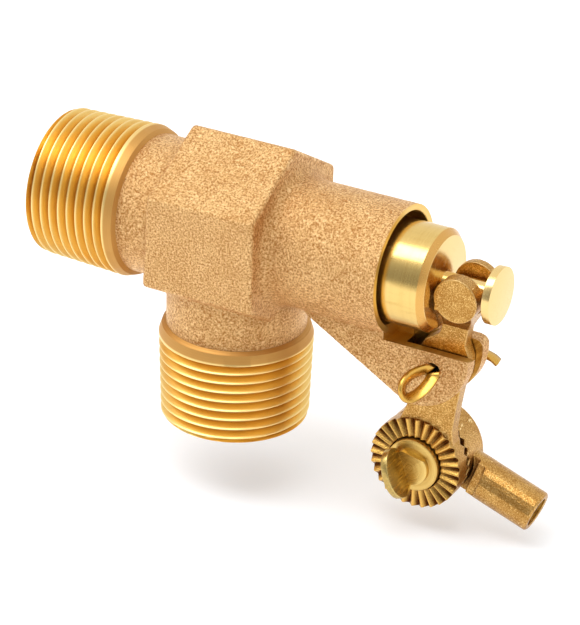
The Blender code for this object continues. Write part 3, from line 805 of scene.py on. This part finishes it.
def cutting_tools(cuts):
    """Every tool that machines the casting, with the finish that it leaves."""
    low, high = SEAT_WALL_X
    top = HOUSING_END_X
    core = SEAT_HOLE_R - 1
    ends = [(0, top + 1), (MOUTH_R, top + 1), (MOUTH_R, MOUTH_X), (core, MOUTH_X), (core, low),
            (INLET_BORE_R, low), (INLET_BORE_R, INLET_NECK_X - 2), (0, INLET_NECK_X - 2)]
    waterway = [(0, MOUTH_X + 1), (GUIDE_R, MOUTH_X + 1), (GUIDE_R, CHAMBER_END_X),
                (CHAMBER_R, CHAMBER_END_X), (CHAMBER_R, high), (SEAT_HOLE_R, high), (SEAT_HOLE_R, low - 1),
                (0, low - 1)]
    outer, inner, depth = LIP
    lip = [(0, top + 1), (MOUTH_R + outer, top + 1), (MOUTH_R + outer, top), (MOUTH_R - inner, top - depth),
           (0, top - depth)]
    mouth_face = bar("mouth_face", HOUSING_R + 6, top, 120, 96, along_x())
    window = box("mouth_window", (top - 1, -CLEAR, MOUTH_FACE_LOW_Z), (130, CLEAR, CLEAR))
    combine(mouth_face, window, "INTERSECT")
    relief = bar("relief", RELIEF_R, RELIEF_X, OPEN_END_X - 1, 160, along_x())
    window = box("relief_window", (RELIEF_X - 1, -EAR_Y - 1, RELIEF_Z[0]),
                 (OPEN_END_X, SLOT_Y - 0.2, RELIEF_Z[1]))
    combine(relief, window, "INTERSECT")
    outlet_core = bar("outlet_core", OUTLET_BORE_R, OUTLET_NECK_Z - 3, OUTLET_BORE_TOP_Z, TURNED_STEPS,
                      spot(TEE_X, 0, 0))
    return [
        (mouth_face, cuts["mouth"]),
        (lathe("inlet_and_mouth", ends, TURNED_STEPS, along_x()), cuts["waterway"]),
        (lathe("waterway", waterway, TURNED_STEPS, on_plunger_axis()), cuts["waterway"]),
        (lathe("lip", lip, TURNED_STEPS, along_x()), cuts["mouth"]),
        (outlet_core, cuts["outlet"]),
        (relief, cuts["mouth"]),
        (box("slot", (SLOT_X, -SLOT_Y, SLOT_Z[0]), (OPEN_END_X, SLOT_Y, SLOT_Z[1])), cuts["slot"]),
        (bar("pin_hole", PIN_HOLE_R, -8, 8, 48, at_axis(PIVOT)), cuts["slot"]),
        (box("neck_end", (-10, -CLEAR, -CLEAR), (INLET_NECK_X - 0.05, CLEAR, CLEAR)), cuts["waterway"]),
        (box("outlet_neck_end", (TEE_X - CLEAR, -CLEAR, -60), (TEE_X + 17, CLEAR, OUTLET_NECK_Z + 0.05)),
         cuts["outlet"]),
    ]


def plunger(finish):
    """Piston, stem and button, turned from one bar."""
    front, back = PISTON_X
    groove_low, groove_high = RING_GROOVE_X
    cup_low, cup_high = CUP_X
    profile = [
        (0, BUTTON_X[1]), (BUTTON_R, BUTTON_X[1]), (BUTTON_R, BUTTON_X[0]), (STEM_R, BUTTON_X[0]),
        (STEM_R, back), (PISTON_R - PISTON_CHAMFER, back), (PISTON_R, back - PISTON_CHAMFER),
        (PISTON_R, groove_high), (RING_GROOVE_R, groove_high), (RING_GROOVE_R, groove_low),
        (PISTON_R, groove_low), (PISTON_R, front), (FRONT_R, front), (FRONT_R, cup_low), (CUP_R, cup_low),
        (CUP_R, cup_high), (SCREW_HOLE_R, cup_high), (SCREW_HOLE_R, SCREW_HOLE_X), (0, SCREW_HOLE_X),
    ]
    piece = lathe("plunger_turned", rounded(profile, PISTON_EDGE), 160, on_plunger_axis())
    return shade(give(piece, finish), 40)


def bronze_copy(node, name, passes, extra=None):
    """A soft-edged skin of a CAD casting, with an extra solid joined to it."""
    piece = bpy.data.objects.new(name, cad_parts[node].data.copy())
    bpy.context.scene.collection.objects.link(piece)
    welded = bmesh.new()
    welded.from_mesh(piece.data)
    bmesh.ops.remove_doubles(welded, verts=welded.verts, dist=WELD * MM)
    welded.to_mesh(piece.data)
    welded.free()
    if extra:
        combine(piece, extra, "UNION")
    return soften(piece, BRONZE_VOXEL, passes, BRONZE_UNEVENNESS)


def lever(finish):
    """The fork, the web and the toothed clamp disc."""
    piece = bronze_copy("lever", "lever_casting", 3)
    return shade(give(piece, finish), 60)


def float_arm_socket(finish, thread_finish):
    """The toothed hub and the tube, with the float rod's thread tapped in it."""
    aim = spot(CLAMP[0], TUBE_Y, CLAMP[1]) @ Matrix.Rotation(TUBE_DROP, 4, "Y") @ along_x()
    throat = bar("throat", TUBE_R, *THROAT, 64, aim)
    combine(throat, box("throat_window", (80, THROAT_Y, -60), (110, 12, -30)), "INTERSECT")
    piece = give(bronze_copy("float_arm_socket", "socket_casting", 4, throat), finish)
    tap = thread_rod("rod_thread", TUBE_REACH - 1, TUBE_REACH + 2, ROD_THREAD_R, ROD_THREAD_DEPTH,
                     ROD_THREAD_PITCH, steps=64)
    keep = bar("tap_reach", 6, TUBE_REACH - ROD_HOLE_DEPTH, TUBE_REACH + 1.5, 64, Matrix.Identity(4))
    combine(tap, keep, "INTERSECT")
    give(placed(tap, aim), thread_finish)
    combine(piece, tap, "DIFFERENCE")
    return shade(piece, 60)


def thumb_screw(finish, tab_finish):
    """Flanged screw with an offset rounded tab."""
    low, high = FLANGE_Y
    profile = [
        (0, SHANK_END_Y), (SHANK_R - SHANK_EDGE, SHANK_END_Y), (SHANK_R, SHANK_END_Y - SHANK_EDGE),
        (SHANK_R, high), (FLANGE_R, high), (FLANGE_R, low), (BOSS_R, low), (BOSS_R, BOSS_Y), (0, BOSS_Y),
    ]
    screw = lathe("thumb_screw_turned", rounded(profile, SCREW_EDGE), TURNED_STEPS, at_axis(CLAMP))
    flat = box("boss_flat", (-6, BOSS_Y - 1, BOSS_FLAT), (6, low - 0.02, 6))
    placed(flat, spot(CLAMP[0], 0, CLAMP[1]) @ Matrix.Rotation(BOSS_FLAT_TURN, 4, "Y"))
    combine(screw, flat, "DIFFERENCE")
    half_width, half_height = TAB_AXES
    head = arc(0, 0, 1, -TAB_WAIST, 180 + TAB_WAIST, 64)
    outline = [(half_width * u, half_height * v - TAB_Y) for u, v in head]
    outline += [(outline[-1][0], -low - TAB_ROOT), (outline[0][0], -low - TAB_ROOT)]
    stand = Matrix(((1, 0, 0, 0), (0, 0, -1, 0), (0, 1, 0, 0), (0, 0, 0, 1)))
    tab = prism("tab", outline, -TAB_THICKNESS / 2, TAB_THICKNESS / 2, stand)
    bevelled(tab, TAB_EDGE)
    face = Matrix(((0, 1, 0, 0), (0, 0, -1, 0), (-1, 0, 0, 0), (0, 0, 0, 1)))
    place = spot(CLAMP[0], 0, CLAMP[1]) @ Matrix.Rotation(TAB_TURN, 4, "Y") @ spot(TAB_OFFSET, 0, 0) @ face
    placed(tab, place)
    give(screw, finish)
    combine(screw, give(tab, tab_finish), "UNION")
    return shade(screw, 40)


def eye_point(share):
    """A point of the pin's eye: 0 and 1 are the two wires at the hole."""
    angle = math.radians(360 * share)
    along = EYE_LENGTH * (1 - math.cos(angle)) / 2
    swing = math.sin(angle) * EYE_HALF_WIDTH * (1 - EYE_TAPER * math.cos(angle))
    if share > 0.5:
        swing *= LOWER_BULGE
    foot = LEG_SPACING / 2 * (0.5 + 0.5 * math.cos(angle)) * (1 if share < 0.5 else -1)
    return EYE_OUT * along + EYE_SIDE * swing + LEG_SIDE * foot


def half_round():
    """The wire's section as (across, towards the flat side)."""
    side, depth = WIRE_EDGE
    section = [(-WIRE_R + side, WIRE_FLAT), (WIRE_R - side, WIRE_FLAT)]
    for i in range(WIRE_STEPS + 1):
        angle = math.pi * i / WIRE_STEPS
        section.append((WIRE_R * math.cos(angle), WIRE_FLAT - depth - (WIRE_R - depth) * math.sin(angle)))
    return section


def cotter_pin(finish):
    """One half-round wire: a bent leg, the eye and the other bent leg.

    The flat side faces the other leg on the first one and is carried along the route without twist. The eye
    isn't quite flat, so on the second leg it has turned by about 45 degrees.
    """
    hole = Vector((PIVOT[0], EYE_Y, PIVOT[1]))
    eye = [hole + eye_point(i / EYE_POINTS) for i in range(1, EYE_POINTS)]
    legs = []
    for side in (1, -1):
        start = hole + LEG_SIDE * (side * LEG_SPACING / 2)
        legs.append([start] + [Vector((start.x - side * out, y, start.z + up)) for out, y, up in LEG_ROUTE])
    route = curve_through(legs[0][::-1] + eye + legs[1], WIRE_SPACING)
    tangents = []
    for i in range(len(route)):
        tangents.append((route[min(i + 1, len(route) - 1)] - route[max(i - 1, 0)]).normalized())
    first = min(range(len(route)), key=lambda i: (route[i] - legs[0][1]).length)
    inward = {first: (-LEG_SIDE).normalized()}
    for order in (range(first + 1, len(route)), range(first - 1, -1, -1)):
        for i in order:
            before = inward[i - 1 if i > first else i + 1]
            inward[i] = (before - tangents[i] * before.dot(tangents[i])).normalized()
    section = half_round()
    vertices, faces = [], []
    for i, point in enumerate(route):
        across = tangents[i].cross(inward[i])
        for u, v in section:
            vertices.append(point + across * u + inward[i] * v)
    n = len(section)
    for i in range(len(route) - 1):
        for k in range(n):
            j = (k + 1) % n
            faces.append([i * n + k, i * n + j, (i + 1) * n + j, (i + 1) * n + k])
    faces += [list(range(n)), list(range((len(route) - 1) * n, len(route) * n))[::-1]]
    return shade(give(mesh_object("cotter_pin_wire", vertices, faces), finish), 50)


# ---------------------------------------------------------------- studio

def camera():
    """A long lens that looks down on the front from the button's end."""
    data = bpy.data.cameras.new("camera")
    data.lens = CAMERA_LENS
    data.sensor_width = SENSOR_WIDTH
    data.clip_start, data.clip_end = CLIP
    thing = bpy.data.objects.new("camera", data)
    a, e = math.radians(CAMERA_AZIMUTH), math.radians(CAMERA_ELEVATION)
    back = Vector((math.sin(a) * math.cos(e), -math.cos(a) * math.cos(e), math.sin(e)))
    thing.rotation_mode = "QUATERNION"
    turn = (-back).to_track_quat("-Z", "Y") @ Quaternion((0, 0, 1), math.radians(CAMERA_ROLL))
    thing.rotation_quaternion = turn
    thing.location = Vector(CAMERA_AT) * MM
    bpy.context.scene.collection.objects.link(thing)
    bpy.context.scene.camera = thing


def key_light():
    """A large soft rectangular light whose first side runs with X."""
    data = bpy.data.lights.new("key", "AREA")
    data.shape = "RECTANGLE"
    data.size, data.size_y = (side * MM for side in LIGHT_SIZE)
    data.energy = LIGHT_POWER
    data.color = LIGHT_COLOUR
    thing = bpy.data.objects.new("key", data)
    back = Vector(LIGHT_FROM).normalized()
    right = (Vector((1, 0, 0)) - back * back.x).normalized()
    turn = Matrix((right, back.cross(right), back)).transposed()
    thing.matrix_world = Matrix.Translation((Vector(LIGHT_AIM) + Vector(LIGHT_FROM)) * MM) @ turn.to_4x4()
    bpy.context.scene.collection.objects.link(thing)


def studio():
    """A pale floor, a white room and one large soft light overhead."""
    low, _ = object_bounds()
    r = FLOOR_REACH
    floor = mesh_object("floor", [(-r, -r, 0), (r, -r, 0), (r, r, 0), (-r, r, 0)], [[0, 1, 2, 3]])
    placed(floor, Matrix.Translation((0, 0, low.z - FLOOR_DROP * MM)))
    paper = Finish("paper")
    paper.shader.inputs["Metallic"].default_value = 0.0
    paper.shader.inputs["Emission Color"].default_value = (1, 1, 1, 1)
    paper.shader.inputs["Emission Strength"].default_value = FLOOR_GLOW
    give(floor, paper.done((FLOOR_GREY,) * 3, 0.9))

    bpy.context.scene.world = room()
    bpy.context.scene.view_settings.view_transform = "Standard"
    key_light()


def room():
    """White overhead and behind the object, and darker on the camera's side, which brass mirrors."""
    world = bpy.data.worlds.new("room")
    world.use_nodes = True
    tree = world.node_tree
    back = tree.nodes["Background"]
    back.inputs["Color"].default_value = (1, 1, 1, 1)
    way = tree.nodes.new("ShaderNodeTexCoord").outputs["Generated"]
    toward = tree.nodes.new("ShaderNodeVectorMath")
    toward.operation = "DOT_PRODUCT"
    toward.inputs[1].default_value = DARK_SIDE
    tree.links.new(way, toward.inputs[0])
    ramp = tree.nodes.new("ShaderNodeMapRange")
    ramp.interpolation_type = "SMOOTHSTEP"
    for key, number in (("From Min", 0.05), ("From Max", 0.95),
                        ("To Min", ROOM_BRIGHT), ("To Max", ROOM_DARK)):
        ramp.inputs[key].default_value = number
    tree.links.new(toward.outputs["Value"], ramp.inputs["Value"])
    tree.links.new(ramp.outputs["Result"], back.inputs["Strength"])
    return world


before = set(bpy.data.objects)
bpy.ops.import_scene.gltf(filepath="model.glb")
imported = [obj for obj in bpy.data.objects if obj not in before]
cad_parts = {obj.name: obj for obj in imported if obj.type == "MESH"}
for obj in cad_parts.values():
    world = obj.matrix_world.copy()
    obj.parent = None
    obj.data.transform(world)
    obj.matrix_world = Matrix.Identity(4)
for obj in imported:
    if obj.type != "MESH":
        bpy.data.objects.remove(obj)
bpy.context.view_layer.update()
camera()

cast = cast_finish()
cuts = {
    "inlet": cut_finish("inlet_cut", "X", (0, 0, 0), GOLD, 0.38,
                        crest=CREST_R - INLET_CREST_X * TAPER, shoulder=INLET_CREST_X),
    "outlet": cut_finish("outlet_cut", "Z", (TEE_X, 0, 0), GOLD, 0.38,
                         crest=CREST_R - OUTLET_CREST_Z * TAPER, shoulder=OUTLET_CREST_Z),
    "waterway": cut_finish("waterway_cut", "X", (0, 0, 0), GOLD, 0.34),
    "mouth": cut_finish("mouth_cut", "X", (0, 0, 0), GOLD, 0.42),
    "slot": cut_finish("slot_cut", "X", (0, 0, 0), OLIVE, 0.34),
}
seat_brass = cut_finish("seat_brass", "X", (0, 0, PLUNGER_Z), GOLD, 0.25)
screw_brass = cut_finish("screw_brass", "Y", (CLAMP[0], 0, CLAMP[1]), OLIVE, 0.30, depth=0.015)
tumbled = tumbled_finish()
rubber = rubber_finish()

pieces = [
    (valve_body(cast, cuts), "body", "valve_body", "cast_bronze"),
    (plunger(plunger_finish()), "plunger", "plunger", "turned_brass"),
    (lever(tumbled), "lever", "lever", "tumbled_bronze"),
    (float_arm_socket(tumbled, screw_brass), "arm_socket", "float_arm_socket", "tumbled_bronze"),
    (thumb_screw(screw_brass, tab_finish()), "thumb_screw", "thumb_screw", "screw_brass"),
    (cotter_pin(wire_finish()), "body", "cotter_pin", "pin_brass"),
]
for piece, body, node, slot in pieces:
    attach(piece, body)
    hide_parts(node)

for node, finish in (("seat_ring", seat_brass), ("piston_o_ring", rubber), ("seat_disc", rubber),
                     ("disc_washer", seat_brass), ("disc_screw", seat_brass)):
    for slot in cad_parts[node].material_slots:
        slot.material = finish

studio()
